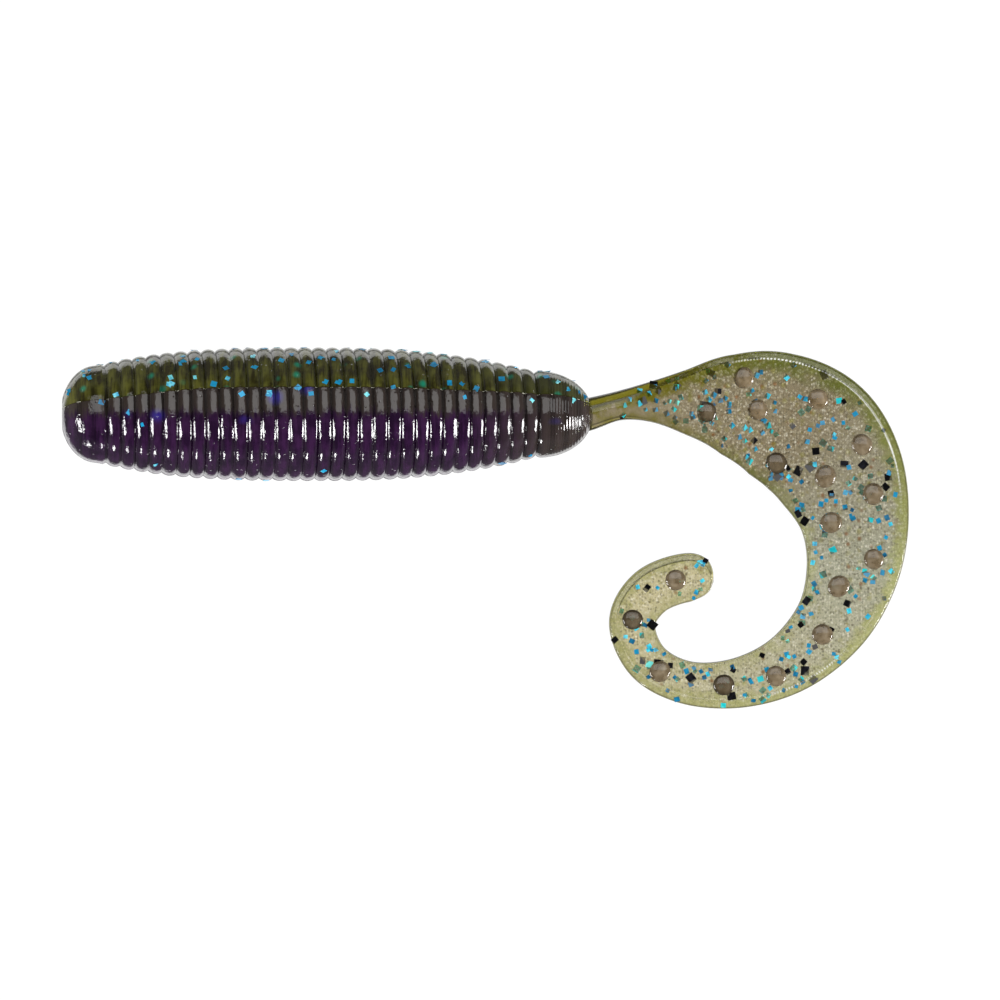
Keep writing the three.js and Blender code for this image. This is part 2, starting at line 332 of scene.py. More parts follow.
def body_material(name, deep, pale, blot, blot_size, blot_share, washed, seam_wash):
    """Plasticised PVC, poured: a glossy, slightly wavy skin over a cloudy colour."""
    made, tree, surface = new_material(name)
    place = add_node(tree, "Attribute", {"attribute_name": "moulded_at"}).outputs["Vector"]
    axes = add_node(tree, "SeparateXYZ", {}, {0: place})
    cloud = add_node(tree, "TexNoise", {"Scale": 1 / 1.6, "Detail": 3.0}, {"Vector": place})
    flow = add_node(tree, "VectorMath", {"operation": "MULTIPLY", 1: (3.2, 0.4, 0.4)},
                    {0: place})
    flow = add_node(tree, "TexNoise", {"Scale": 1.0, "Detail": 3.0},
                    {"Vector": flow.outputs[0]})
    mixed = add_node(tree, "Math", {"operation": "ADD"},
                     {0: cloud.outputs["Fac"], 1: flow.outputs["Fac"]})
    clear = add_node(tree, "MapRange", {"From Min": 0.82, "From Max": 1.18},
                     {"Value": mixed.outputs[0]})
    pour = add_node(tree, "Mix", {"data_type": "RGBA", 6: linear(deep), 7: linear(pale)},
                    {0: clear.outputs[0]}).outputs[2]

    # Where the two pours meet, and at the collar, the colour is washed out to a brown.
    ragged = add_node(tree, "Math", {"operation": "MULTIPLY_ADD", 1: 3.0, 2: -1.5},
                      {0: flow.outputs["Fac"]})
    height = add_node(tree, "Math", {"operation": "ADD"},
                      {0: axes.outputs["Y"], 1: ragged.outputs[0]})
    seam = add_node(tree, "MapRange", {
        "From Min": axis_y / MM - 0.3, "From Max": axis_y / MM + 0.6, "To Max": seam_wash},
        {"Value": height.outputs[0]})
    collar = add_node(tree, "MapRange", {
        "From Min": nose_x / MM + 42, "From Max": nose_x / MM + 51, "To Max": 0.85},
        {"Value": axes.outputs["X"]})
    wash = add_node(tree, "Math", {"operation": "MAXIMUM"},
                    {0: seam.outputs[0], 1: collar.outputs[0]})
    pour = add_node(tree, "Mix", {"data_type": "RGBA", 7: linear(washed)},
                    {0: wash.outputs[0], 6: pour}).outputs[2]

    # Flakes and pigment that lie too deep to be sharp show as soft spots.
    spots = add_node(tree, "TexVoronoi", {"Scale": 1 / blot_size, "Randomness": 1.0},
                     {"Vector": place})
    near = add_node(tree, "MapRange", {
        "From Min": 0.04, "From Max": 0.36, "To Min": 0.7, "To Max": 0.0,
        "interpolation_type": "SMOOTHSTEP"}, {"Value": spots.outputs["Distance"]})
    pick = add_node(tree, "SeparateColor", {}, {0: spots.outputs["Color"]})
    chosen = add_node(tree, "Math", {"operation": "LESS_THAN", 1: blot_share},
                      {0: pick.outputs[0]})
    spot = add_node(tree, "Math", {"operation": "MULTIPLY"},
                    {0: near.outputs[0], 1: chosen.outputs[0]})
    above = add_node(tree, "MapRange", {
        "From Min": axis_y / MM - 1.2, "From Max": axis_y / MM - 0.2},
        {"Value": axes.outputs["Y"]})
    spot = add_node(tree, "Math", {"operation": "MULTIPLY"},
                    {0: spot.outputs[0], 1: above.outputs[0]})
    pour = add_node(tree, "Mix", {"data_type": "RGBA", 7: linear(blot)},
                    {0: spot.outputs[0], 6: pour}).outputs[2]

    # Painted light and shade across the ribs: each rib is painted lighter in stripes, as if light
    # gathered in it, and a thin dark line is painted beside each groove.
    painted_light_and_shade = add_node(tree, "ValToRGB", {}, {0: off_the_groove(tree, place)})
    ramp = painted_light_and_shade.color_ramp
    ramp.elements[0].position, ramp.elements[0].color = 0.0, (0.62, 0.62, 0.62, 1)
    ramp.elements[1].position, ramp.elements[1].color = 0.09, (0.9, 0.9, 0.9, 1)
    for position, light in ((0.17, 0.55), (0.27, 1.0), (0.6, 1.25)):
        ramp.elements.new(position).color = (light, light, light, 1)
    pour = add_node(tree, "Mix", {
        "data_type": "RGBA", "blend_type": "MULTIPLY", 0: 1.0},
        {6: pour, 7: painted_light_and_shade.outputs[0]}).outputs[2]

    # The skin has long waves and a finer grain across the ribs.
    skin = add_node(tree, "TexNoise", {"Scale": 1 / 0.6, "Detail": 2.0, "Distortion": 0.8},
                    {"Vector": place})
    bump = add_node(tree, "Bump", {"Strength": 0.5, "Distance": 0.06 * MM},
                    {"Height": skin.outputs["Fac"]})

    grain = add_node(tree, "VectorMath", {"operation": "MULTIPLY", 1: (2.8, 0.8, 0.8)},
                     {0: place})
    grain = add_node(tree, "TexNoise", {"Scale": 1.0, "Detail": 3.0}, {"Vector": grain.outputs[0]})
    bump = add_node(tree, "Bump", {"Strength": 0.6, "Distance": 0.06 * MM},
                    {"Height": grain.outputs["Fac"], "Normal": bump.outputs[0]})

    # The collar's cavity was turned on a lathe, and its skin keeps the tool marks.
    mark = add_node(tree, "Math", {"operation": "MULTIPLY", 1: 2 * math.pi / TOOL_MARK_PITCH},
                    {0: axes.outputs["X"]})
    mark = add_node(tree, "Math", {"operation": "SINE"}, {0: mark.outputs[0]})
    turned = add_node(tree, "MapRange", {
        "From Min": (nose_x + groove_at(RIB_COUNT)) / MM + 1,
        "From Max": (nose_x + groove_at(RIB_COUNT)) / MM + 1.4, "To Max": 0.9},
        {"Value": axes.outputs["X"]})
    bump = add_node(tree, "Bump", {"Distance": 0.012 * MM}, {
        "Strength": turned.outputs[0], "Height": mark.outputs[0],
        "Normal": bump.outputs[0]})

    # Air caught against the mould leaves small pits here and there.
    air = add_node(tree, "TexVoronoi", {"Scale": 1 / 0.55}, {"Vector": place})
    rare = add_node(tree, "SeparateColor", {}, {0: air.outputs["Color"]})
    rare = add_node(tree, "Math", {"operation": "LESS_THAN", 1: 0.25}, {0: rare.outputs[1]})
    pit = add_node(tree, "MapRange", {"From Min": 0.0, "From Max": 0.2},
                   {"Value": air.outputs["Distance"]})
    bump = add_node(tree, "Bump", {"Distance": 0.1 * MM}, {
        "Strength": rare.outputs[0], "Height": pit.outputs[0],
        "Normal": bump.outputs[0]})
    plastic = add_node(tree, "BsdfPrincipled", {"Roughness": 0.07, "IOR": 1.5},
                       {"Base Color": pour, "Normal": bump.outputs[0]})
    tree.links.new(plastic.outputs[0], surface)
    return made


olive_pvc = body_material("poured_pvc_olive", "#26230a", "#4e4e1e", "#0b8a6c", 1.7, 0.4,
                          "#34361a", 0.0)
purple_pvc = body_material("poured_pvc_purple", "#1a0820", "#2c1432", "#2f2a8c", 3.2, 0.35,
                           "#2f2923", 0.9)

# Each stretch of skin spans one joint: name, first and last rib, the two bodies, and
# where along the body it begins and ends to bend, in mm.
body_stretches = [
    ("nose", 0, 7, "nose", "fore", (5.9, 13.9)),
    ("fore", 7, 16, "fore", "middle", (14.6, 22.3)),
    ("middle", 16, 25, "middle", "aft", (32.9, 40.5)),
    ("aft", 25, 31, "aft", "rump", (40.7, 49.2)),
    ("rump", 31, 32, "rump", "neck", (54.2, 58.0)),
]


def bend_with_body(made):
    """Bakes a piece's transform into its mesh, and nothing more."""
    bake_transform(made)


for stretch in body_stretches:
    name, first_rib, last_rib = stretch[:3]
    points = stretch_points(first_rib, last_rib)
    back = poured_stretch(f"back_{name}", points, -PARTING_ANGLE, 2 * PARTING_ANGLE,
                          olive_pvc)
    belly = poured_stretch(f"belly_{name}", points, PARTING_ANGLE,
                           2 * math.pi - 2 * PARTING_ANGLE, purple_pvc)
    for made, node, slot in ((back, f"{name}_back", "olive_back"),
                             (belly, f"{name}_belly", "purple_belly")):
        bend_with_body(made)
        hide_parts(node)


# ---------- flash on the parting line ----------
# Where the mould's two plates close, a thread of plastic squeezes out along both sides of
# the body. It is trimmed by hand, so only a low sharp ridge of the olive pour is left.

FLASH_HEIGHT = 0.08 * MM
FLASH_WIDTH = 0.14 * MM


def flash(name, places, angle, material):
    """A three-sided ridge that follows the ribs: two roots in the skin and a crest."""
    bm = bmesh.new()
    rows = []
    for lean, lift in ((-0.5, -1), (0, 1), (0.5, -1)):
        row = [bm.verts.new(on_body(along, skin_radius(along) + lift * FLASH_HEIGHT,
                                    poured(along, angle) + lean * FLASH_WIDTH / BODY_RADIUS))
               for along in places]
        rows.append([bm.edges.new(pair) for pair in zip(row, row[1:])])
    for one, other in ((0, 1), (1, 2), (2, 0)):
        bmesh.ops.bridge_loops(bm, edges=rows[one] + rows[other])
    bmesh.ops.holes_fill(bm, edges=bm.edges, sides=3)
    bmesh.ops.recalc_face_normals(bm, faces=bm.faces)
    return piece(bm, name, material)


# Trimmed PVC: dark along the ridge, with a painted glint, a pale mark, where each groove crosses
# it.
trimmed_pvc, tree, surface = new_material("trimmed_pvc_flash")
place = add_node(tree, "Attribute", {"attribute_name": "moulded_at"}).outputs["Vector"]
speck = add_node(tree, "TexNoise", {"Scale": 1 / 0.5, "Detail": 2.0}, {"Vector": place})
off_groove = add_node(tree, "Math", {"operation": "ADD"},
                      {0: off_the_groove(tree, place), 1: speck.outputs["Fac"]})
painted_groove_glint = add_node(tree, "MapRange", {
    "From Min": 0.55, "From Max": 0.62, "To Min": 1.0, "To Max": 0.0},
    {"Value": off_groove.outputs[0]})
ridge = add_node(tree, "Mix", {
    "data_type": "RGBA", 6: linear("#2a2508"), 7: linear("#d8d6c4")},
    {0: painted_groove_glint.outputs[0]}).outputs[2]
plastic = add_node(tree, "BsdfPrincipled", {"Roughness": 0.2, "IOR": 1.5},
                   {"Base Color": ridge})
tree.links.new(plastic.outputs[0], surface)

for stretch in body_stretches:
    name, first_rib, last_rib = stretch[:3]
    places = [along for along, _ in stretch_points(first_rib, last_rib)[1:-1]]
    for side, angle in (("upper", PARTING_ANGLE), ("lower", -PARTING_ANGLE)):
        made = flash(f"flash_{side}_{name}", places, angle, trimmed_pvc)
        bend_with_body(made)


# ---------- glitter in the body ----------
# Square flakes cut from metallised blue polyester film and stirred into the pour. Those at
# the skin show sharp, mostly in the olive, and a few have sunk into the purple.

FLAKE_THICKNESS = 0.03 * MM
FLAKES_ON_A_RIB = 4
FLAKES_ON_THE_COLLAR = 16
FLAKES_ON_THE_NOSE = 9
BELLY_FLAKE_CHANCE = 0.3  # that a rib has one in the purple too
sparkle = random.Random(11)


def glitter(name, flakes, material):
    """Flakes as one piece: thin square plates by centre, normal, side, ratio and turn."""
    bm = bmesh.new()
    layer = bm.verts.layers.float_vector.new("flake")
    for center, normal, side, ratio, turn in flakes:
        facing = normal.to_track_quat("Z", "Y").to_matrix().to_4x4()
        shape = Matrix.Diagonal((side, side * ratio, FLAKE_THICKNESS, 1))
        place = Matrix.Translation(center) @ facing @ Matrix.Rotation(turn, 4, "Z") @ shape
        tone = sparkle.random()
        for vert in bmesh.ops.create_cube(bm, size=1, matrix=place)["verts"]:
            vert[layer] = Vector((tone, 0, 0))
    return piece(bm, name, material)


def film_material(name, dark, main, bright, metallic, roughness):
    """Metallised polyester film: each flake's colour differs at random from the next, and is
    painted up to near white as a painted glint.
    """
    made, tree, surface = new_material(name)
    tone = add_node(tree, "Attribute", {"attribute_name": "flake"}).outputs["Vector"]
    tone = add_node(tree, "SeparateXYZ", {}, {0: tone}).outputs[0]
    place = add_node(tree, "Attribute", {"attribute_name": "moulded_at"}).outputs["Vector"]
    # Painted glints: a noise and each flake's random tone paint it from dark to near white, as if
    # it flashed in the light.
    painted_glint = add_node(tree, "TexNoise", {"Scale": 1 / 0.45, "Detail": 1.0},
                     {"Vector": place})
    tone = add_node(tree, "Math", {"operation": "MULTIPLY_ADD", 1: 0.8},
                    {0: painted_glint.outputs["Fac"], 2: tone})
    low = add_node(tree, "MapRange", {"From Min": 0.3, "From Max": 0.9},
                   {"Value": tone.outputs[0]})
    high = add_node(tree, "MapRange", {"From Min": 1.1, "From Max": 1.4},
                    {"Value": tone.outputs[0]})
    film = add_node(tree, "Mix", {"data_type": "RGBA", 6: linear(dark), 7: linear(main)},
                    {0: low.outputs[0]}).outputs[2]
    film = add_node(tree, "Mix", {"data_type": "RGBA", 7: linear(bright)},
                    {0: high.outputs[0], 6: film}).outputs[2]
    shiny = add_node(tree, "BsdfPrincipled", {
        "Metallic": metallic, "Roughness": roughness}, {"Base Color": film})
    tree.links.new(shiny.outputs[0], surface)
    return made


blue_film = film_material("metallised_film_blue", "#07608e", "#129fd0", "#86ecf2", 0.1, 0.3)


def body_flake(along, angle):
    """A flake lying in the skin, tilted a little, with one corner often just under it."""
    tilt = Vector([sparkle.gauss(0, 0.07) for _ in range(3)])
    outward = on_body(along, 1, angle) - on_body(along, 0, angle)
    return (on_body(along, skin_radius(along), angle), outward + tilt,
            sparkle.uniform(0.45, 0.68) * MM, sparkle.uniform(0.75, 1), sparkle.uniform(0, 3))


for stretch in body_stretches:
    name, first_rib, last_rib = stretch[:3]
    flakes = []
    for rib in range(first_rib, last_rib):
        for _ in range(FLAKES_ON_A_RIB if rib < RIB_COUNT else FLAKES_ON_THE_COLLAR):
            along = groove_at(rib) + RIB_PITCH * sparkle.uniform(0.38, 0.62)
            if rib == RIB_COUNT:
                along = groove_at(rib) + COLLAR_LENGTH * sparkle.uniform(0.1, 0.85)
            angle = sparkle.uniform(-1.12, 1.12) * PARTING_ANGLE
            flakes.append(body_flake(along, angle))
        if sparkle.random() < BELLY_FLAKE_CHANCE:
            flakes.append(body_flake(groove_at(rib) + RIB_PITCH / 2,
                                     math.pi + sparkle.uniform(-1, 1) * 2))
    if first_rib == 0:
        for _ in range(FLAKES_ON_THE_NOSE):
            flakes.append(body_flake(FIRST_GROOVE * sparkle.uniform(0.15, 0.95),
                                     sparkle.uniform(-1.2, 1.2) * PARTING_ANGLE))
    made = glitter(f"glitter_{name}", flakes, blue_film)
    bend_with_body(made)


# ---------- tail ----------
# The tail is a third pour, clear PVC with pepper and glitter: a thin round neck that
# flattens into a ribbon, curls once round and droops to the surface the grub lies on.

RIBBON_THICKNESS = 1.2 * MM
NECK_THICKNESS = 2.6 * MM
FLAT_FROM = 14 * MM  # distances along the tail are measured from the collar
DROOP_LENGTH = 24 * MM
TIP_ROUND = 2.6 * MM
RIM_WIDTH = 0.85 * MM  # the outer rim slopes down from a bead this far inside the edge
ROUND_STEPS = 128
ROW_STEP = 0.2 * MM

# Centre line of the tail, from the collar round the curl to the tip: x, y, width, in mm.
TAIL_STATIONS = [
    (10.6, 12.0, 3.4), (13.8, 12.9, 3.1), (17.3, 13.3, 4.4), (21.1, 13.3, 7.1),
    (25.2, 13.1, 10.6), (29.8, 12.1, 13.5), (34.3, 9.7, 14.6), (37.2, 5.6, 13.7),
    (38.7, 0.6, 11.5), (38.4, -4.7, 9.8), (36.3, -9.8, 8.1), (32.1, -14.0, 6.6),
    (26.8, -16.2, 5.4), (21.2, -16.3, 4.6), (16.9, -14.1, 4.6), (15.2, -10.0, 4.9),
    (17.1, -6.7, 5.2), (20.8, -5.2, 5.2), (23.8, -5.6, 5.0),
]
# Where the tail bends, in mm along it.
TAIL_CUTS = [6.5, 14.2, 20.2, 25.3, 31, 36.4, 44.5, 51, 57, 63.5, 70, 76.5]


def on_spline(values, share):
    """A smooth curve through evenly spaced values, at a share of the way along it."""
    last = len(values) - 1
    place = min(max(share, 0), 1) * last
    i = min(int(place), last - 1)
    t = place - i
    before = values[i - 1] if i > 0 else 2 * values[0] - values[1]
    after = values[i + 2] if i + 2 <= last else 2 * values[last] - values[last - 1]
    here, there = values[i], values[i + 1]
    slope, next_slope = (there - before) / 2, (after - here) / 2
    return (here + slope * t
            + (3 * (there - here) - 2 * slope - next_slope) * t ** 2
            + (2 * (here - there) + slope + next_slope) * t ** 3)


station_x, station_y, station_width = zip(*TAIL_STATIONS)
LINE_STEPS = 1800
tail_line = [Vector((on_spline(station_x, i / LINE_STEPS),
                     on_spline(station_y, i / LINE_STEPS), 0)) * MM
             for i in range(LINE_STEPS + 1)]
tail_reach = [0.0]
for here, there in zip(tail_line, tail_line[1:]):
    tail_reach.append(tail_reach[-1] + (there - here).length)
TAIL_LENGTH = tail_reach[-1]


def tail_share(along):
    """How far through the stations a distance along the tail is, from 0 to 1."""
    low, high = 0, LINE_STEPS
    while high - low > 1:
        half = (low + high) // 2
        low, high = (half, high) if tail_reach[half] <= along else (low, half)
    span = tail_reach[high] - tail_reach[low]
    return (low + min(max((along - tail_reach[low]) / span, 0), 1)) / LINE_STEPS


def tail_section(along):
    """Centre, directions ahead and to the outer side, half width and half thickness."""
    share = tail_share(along)
    index = min(int(share * LINE_STEPS), LINE_STEPS - 1)
    here, there = tail_line[index], tail_line[index + 1]
    ahead = (there - here).normalized()
    center = here.lerp(there, share * LINE_STEPS - index) + ahead * min(along, 0)
    outward = Vector((-ahead.y, ahead.x, 0))
    flat = smooth(along, 0, FLAT_FROM)
    half_thickness = (NECK_THICKNESS + (RIBBON_THICKNESS - NECK_THICKNESS) * flat) / 2
    droop = smooth(along, 0, DROOP_LENGTH)
    center.z = cad_box[0].z + axis_z + (half_thickness - axis_z) * droop
    into_tip = min(max(along - (TAIL_LENGTH - TIP_ROUND), 0) / TIP_ROUND, 1)
    half_width = on_spline(station_width, share) * MM / 2 * math.sqrt(1 - into_tip ** 2)
    return center, ahead, outward, half_width, half_thickness * math.sqrt(1 - into_tip ** 8)


def rounded(distance, radius):
    """Height of a round edge at a distance in from it, as a share of its full height."""
    return math.sqrt(1 - (1 - min(distance / radius, 1)) ** 2)


def ribbon_outline(turn, half_width, half_thickness, flat):
    """Across and up at a turn round the ribbon, from its outer edge over the top."""
    across = half_width * math.cos(turn)
    oval = half_thickness * math.sin(turn)
    from_outer = max(half_width - across, 0)
    from_inner = max(half_width + across, 0)
    ends = rounded(from_outer, 0.25 * MM) * rounded(from_inner, 0.3 * MM)
    if math.sin(turn) < 0:
        pressed = -half_thickness * ends
    else:
        rim = 0.62 + 0.38 * min(from_outer / RIM_WIDTH, 1)
        bead = 0.04 * MM * math.exp(-((from_outer - RIM_WIDTH) / (0.08 * MM)) ** 2)
        pressed = half_thickness * ends * rim + bead * ends
    return across, oval + (pressed - oval) * flat


def ribbon(name, start, end, material):
    """A stretch of the tail's skin: a grid rolled round the ribbon and bent along it."""
    rows = max(round((end - start) / ROW_STEP), 2)
    bm = bmesh.new()
    bmesh.ops.create_grid(bm, x_segments=rows, y_segments=ROUND_STEPS, size=0.5)
    layer = bm.verts.layers.float_vector.new("tail_place")
    sections = {}
    for vert in bm.verts:
        row = round((vert.co.x + 0.5) * rows)
        if row not in sections:
            along = start + (end - start) * row / rows
            sections[row] = (along, *tail_section(along))
        along, center, ahead, outward, half_width, half_thickness = sections[row]
        turn = (vert.co.y + 0.5) * 2 * math.pi
        across, up = ribbon_outline(turn, half_width, half_thickness,
                                    smooth(along, 0, FLAT_FROM))
        vert.co = center + outward * across + Vector((0, 0, up))
        vert[layer] = Vector((along, half_width - across, half_width + across)) / MM
    bmesh.ops.remove_doubles(bm, verts=bm.verts, dist=1e-7)
    middle_face = max(bm.faces, key=lambda face: face.calc_center_median().z)
    if middle_face.normal.z < 0:
        bmesh.ops.reverse_faces(bm, faces=bm.faces)
    return piece(bm, name, material)


def tail_material(name):
    """Clear plasticised PVC, poured with pepper: olive at its rims, cloudy beige between."""
    made, tree, surface = new_material(name)
    place = add_node(tree, "Attribute", {"attribute_name": "moulded_at"}).outputs["Vector"]
    tail = add_node(tree, "Attribute", {"attribute_name": "tail_place"}).outputs["Vector"]
    tail = add_node(tree, "SeparateXYZ", {}, {0: tail})
    along, from_outer, from_inner = tail.outputs

    # Between the rims: beige at the neck, greener and clearer towards the tip.
    body_end = add_node(tree, "MapRange", {"From Min": 24.0, "From Max": 40.0},
                        {"Value": along})
    tip_end = add_node(tree, "MapRange", {"From Min": 38.0, "From Max": 72.0},
                       {"Value": along})
    centre = add_node(tree, "Mix", {
        "data_type": "RGBA", 6: linear("#91856a"), 7: linear("#aeae98")},
        {0: body_end.outputs[0]}).outputs[2]
    centre = add_node(tree, "Mix", {"data_type": "RGBA", 7: linear("#cdc49c")},
                      {0: tip_end.outputs[0], 6: centre}).outputs[2]
    neck_end = add_node(tree, "MapRange", {"From Min": 8.0, "From Max": 19.0},
                        {"Value": along})
    rim_colour = add_node(tree, "Mix", {
        "data_type": "RGBA", 6: linear("#6e6818"), 7: linear("#666c26")},
        {0: neck_end.outputs[0]}).outputs[2]
    rim_colour = add_node(tree, "Mix", {"data_type": "RGBA", 7: linear("#b0b26c")},
                          {0: body_end.outputs[0], 6: rim_colour}).outputs[2]
    rim_colour = add_node(tree, "Mix", {"data_type": "RGBA", 7: linear("#a5a466")},
                          {0: tip_end.outputs[0], 6: rim_colour}).outputs[2]

    # The olive of the back runs down the outer rim, and thinly down the inner one.
    cloud = add_node(tree, "TexNoise", {"Scale": 1 / 1.2, "Detail": 4.0}, {"Vector": place})
    rim_width = add_node(tree, "MapRange", {
        "From Min": 22.0, "From Max": 36.0, "To Min": 3.6, "To Max": 2.0}, {"Value": along})
    narrow = add_node(tree, "MapRange", {
        "From Min": 5.0, "From Max": 16.0, "To Min": -1.5, "To Max": 0.0}, {"Value": along})
    rim_width = add_node(tree, "Math", {"operation": "ADD"},
                         {0: rim_width.outputs[0], 1: narrow.outputs[0]})
    rim_start = add_node(tree, "MapRange", {
        "From Min": 8.0, "From Max": 20.0, "To Min": 1.5, "To Max": 0.6}, {"Value": along})
    wander = add_node(tree, "Math", {"operation": "MULTIPLY_ADD", 1: 4.4, 2: -2.2},
                      {0: cloud.outputs["Fac"]})
    outer = add_node(tree, "Math", {"operation": "ADD"},
                     {0: from_outer, 1: wander.outputs[0]})
    outer = add_node(tree, "MapRange", {
        "To Min": 1.0, "To Max": 0.0, "interpolation_type": "SMOOTHSTEP"},
        {"Value": outer.outputs[0], "From Min": rim_start.outputs[0],
         "From Max": rim_width.outputs[0]})
    inner = add_node(tree, "Math", {"operation": "ADD"},
                     {0: from_inner, 1: wander.outputs[0]})
    inner = add_node(tree, "MapRange", {
        "From Min": 0.0, "From Max": 1.5, "To Min": 0.8, "To Max": 0.0},
        {"Value": inner.outputs[0]})
    rims = add_node(tree, "Math", {"operation": "MAXIMUM"},
                    {0: outer.outputs[0], 1: inner.outputs[0]})
    pale_rims = add_node(tree, "MapRange", {
        "From Min": 30.0, "From Max": 42.0, "To Min": 1.0, "To Max": 0.75}, {"Value": along})
    rims = add_node(tree, "Math", {"operation": "MULTIPLY"},
                    {0: rims.outputs[0], 1: pale_rims.outputs[0]})
    pour = add_node(tree, "Mix", {"data_type": "RGBA"},
                    {0: rims.outputs[0], 6: centre, 7: rim_colour}).outputs[2]

    # Pepper: fine pale and dark grains, then fewer and larger ones of olive and rust. The
    # neck has none, and the olive rims hide most of it.
    bare = add_node(tree, "MapRange", {
        "From Min": 6.0, "From Max": 12.0, "To Min": 0.1, "To Max": 1.0}, {"Value": along})
    seen = add_node(tree, "Math", {"operation": "MULTIPLY_ADD", 1: -0.6, 2: 1.0},
                    {0: rims.outputs[0]})
    seen = add_node(tree, "Math", {"operation": "MULTIPLY"},
                    {0: seen.outputs[0], 1: bare.outputs[0]})
    for size, reach, share, strength, colour in ((0.24, 0.75, 0.3, 0.6, "#f4efdc"),
                                                 (0.28, 0.6, 0.38, 0.65, "#524a32"),
                                                 (0.6, 0.34, 0.35, 0.7, "#857a34"),
                                                 (0.8, 0.24, 0.35, 0.85, "#4a3614"),
                                                 (1.3, 0.24, 0.35, 0.9, "#7a4a18"),
                                                 (1.0, 0.4, 0.3, 0.6, "#98933c")):
        grains = add_node(tree, "TexVoronoi", {"Scale": 1 / size}, {"Vector": place})
        near = add_node(tree, "MapRange", {
            "From Min": reach * 0.4, "From Max": reach, "To Min": strength, "To Max": 0.0},
            {"Value": grains.outputs["Distance"]})
        pick = add_node(tree, "SeparateColor", {}, {0: grains.outputs["Color"]})
        chosen = add_node(tree, "Math", {"operation": "LESS_THAN", 1: share},
                          {0: pick.outputs[0]})
        grain = add_node(tree, "Math", {"operation": "MULTIPLY"},
                         {0: near.outputs[0], 1: chosen.outputs[0]})
        grain = add_node(tree, "Math", {"operation": "MULTIPLY"},
                         {0: grain.outputs[0], 1: seen.outputs[0]})
        pour = add_node(tree, "Mix", {"data_type": "RGBA", 7: linear(colour)},
                        {0: grain.outputs[0], 6: pour}).outputs[2]

    # Painted shade: the very edge is painted dark, where the eye looks through the most plastic.
    edge = add_node(tree, "Math", {"operation": "MINIMUM"}, {0: from_outer, 1: from_inner})
    edge = add_node(tree, "MapRange", {
        "From Min": 0.06, "From Max": 0.26, "To Min": 0.9, "To Max": 0.0},
        {"Value": edge.outputs[0]})
    pour = add_node(tree, "Mix", {"data_type": "RGBA", 7: linear("#4c4a26")},
                    {0: edge.outputs[0], 6: pour}).outputs[2]

    # Painted highlight: along the bead inside the outer rim a white line is painted over the
    # pepper, beaded where it starts.
    off_bead = add_node(tree, "Math", {"operation": "SUBTRACT", 1: RIM_WIDTH / MM},
                        {0: from_outer})
    off_bead = add_node(tree, "Math", {"operation": "ABSOLUTE"}, {0: off_bead.outputs[0]})
    bead = add_node(tree, "MapRange", {
        "From Min": 0.04, "From Max": 0.1, "To Min": 1.0, "To Max": 0.0},
        {"Value": off_bead.outputs[0]})
    begun = add_node(tree, "MapRange", {"From Min": 14.0, "From Max": 16.0},
                     {"Value": along})
    over = add_node(tree, "MapRange", {
        "From Min": 29.0, "From Max": 35.0, "To Min": 1.0, "To Max": 0.0}, {"Value": along})
    highlight_drops = add_node(tree, "Math", {"operation": "PINGPONG", 1: 0.14}, {0: along})
    highlight_drops = add_node(tree, "MapRange", {"From Min": 0.04, "From Max": 0.09},
                     {"Value": highlight_drops.outputs[0]})
    joined = add_node(tree, "MapRange", {"From Min": 22.0, "From Max": 25.0},
                      {"Value": along})
    joined = add_node(tree, "Math", {"operation": "MULTIPLY"},
                      {0: joined.outputs[0], 1: over.outputs[0]})
    highlight_drops = add_node(tree, "Math", {"operation": "MAXIMUM"},
                     {0: highlight_drops.outputs[0], 1: joined.outputs[0]})
    again = add_node(tree, "MapRange", {"From Min": 47.0, "From Max": 49.0},
                     {"Value": along})
    gone = add_node(tree, "MapRange", {
        "From Min": 54.0, "From Max": 57.0, "To Min": 0.7, "To Max": 0.0},
        {"Value": along})
    again = add_node(tree, "Math", {"operation": "MULTIPLY"},
                     {0: again.outputs[0], 1: gone.outputs[0]})
    shown = add_node(tree, "Math", {"operation": "MAXIMUM"},
                     {0: over.outputs[0], 1: again.outputs[0]})
    for part in (begun, shown, highlight_drops):
        bead = add_node(tree, "Math", {"operation": "MULTIPLY"},
                        {0: bead.outputs[0], 1: part.outputs[0]})
    pour = add_node(tree, "Mix", {"data_type": "RGBA", 7: (1, 1, 1, 1)},
                    {0: bead.outputs[0], 6: pour}).outputs[2]

    skin = add_node(tree, "TexNoise", {"Scale": 1 / 0.5, "Detail": 3.0}, {"Vector": place})
    bump = add_node(tree, "Bump", {"Strength": 0.3, "Distance": 0.03 * MM},
                    {"Height": skin.outputs["Fac"]})
    plastic = add_node(tree, "BsdfPrincipled", {
        "Roughness": 0.12, "IOR": 1.45, "Transmission Weight": 0.8},
        {"Base Color": pour, "Normal": bump.outputs[0]})
    tree.links.new(plastic.outputs[0], surface)
    return made


clear_pvc = tail_material("poured_pvc_clear_peppered")

tail_nodes = ["tail_neck"] + [f"tail_ribbon_{i:02d}" for i in range(1, 12)] + ["tail_tip"]
ROOT_START, ROOT_END = -0.9 * MM, 2.9 * MM
cuts = [cut * MM for cut in TAIL_CUTS]
ends = [ROOT_END] + [(a + b) / 2 for a, b in zip(cuts, cuts[1:])] + [TAIL_LENGTH]


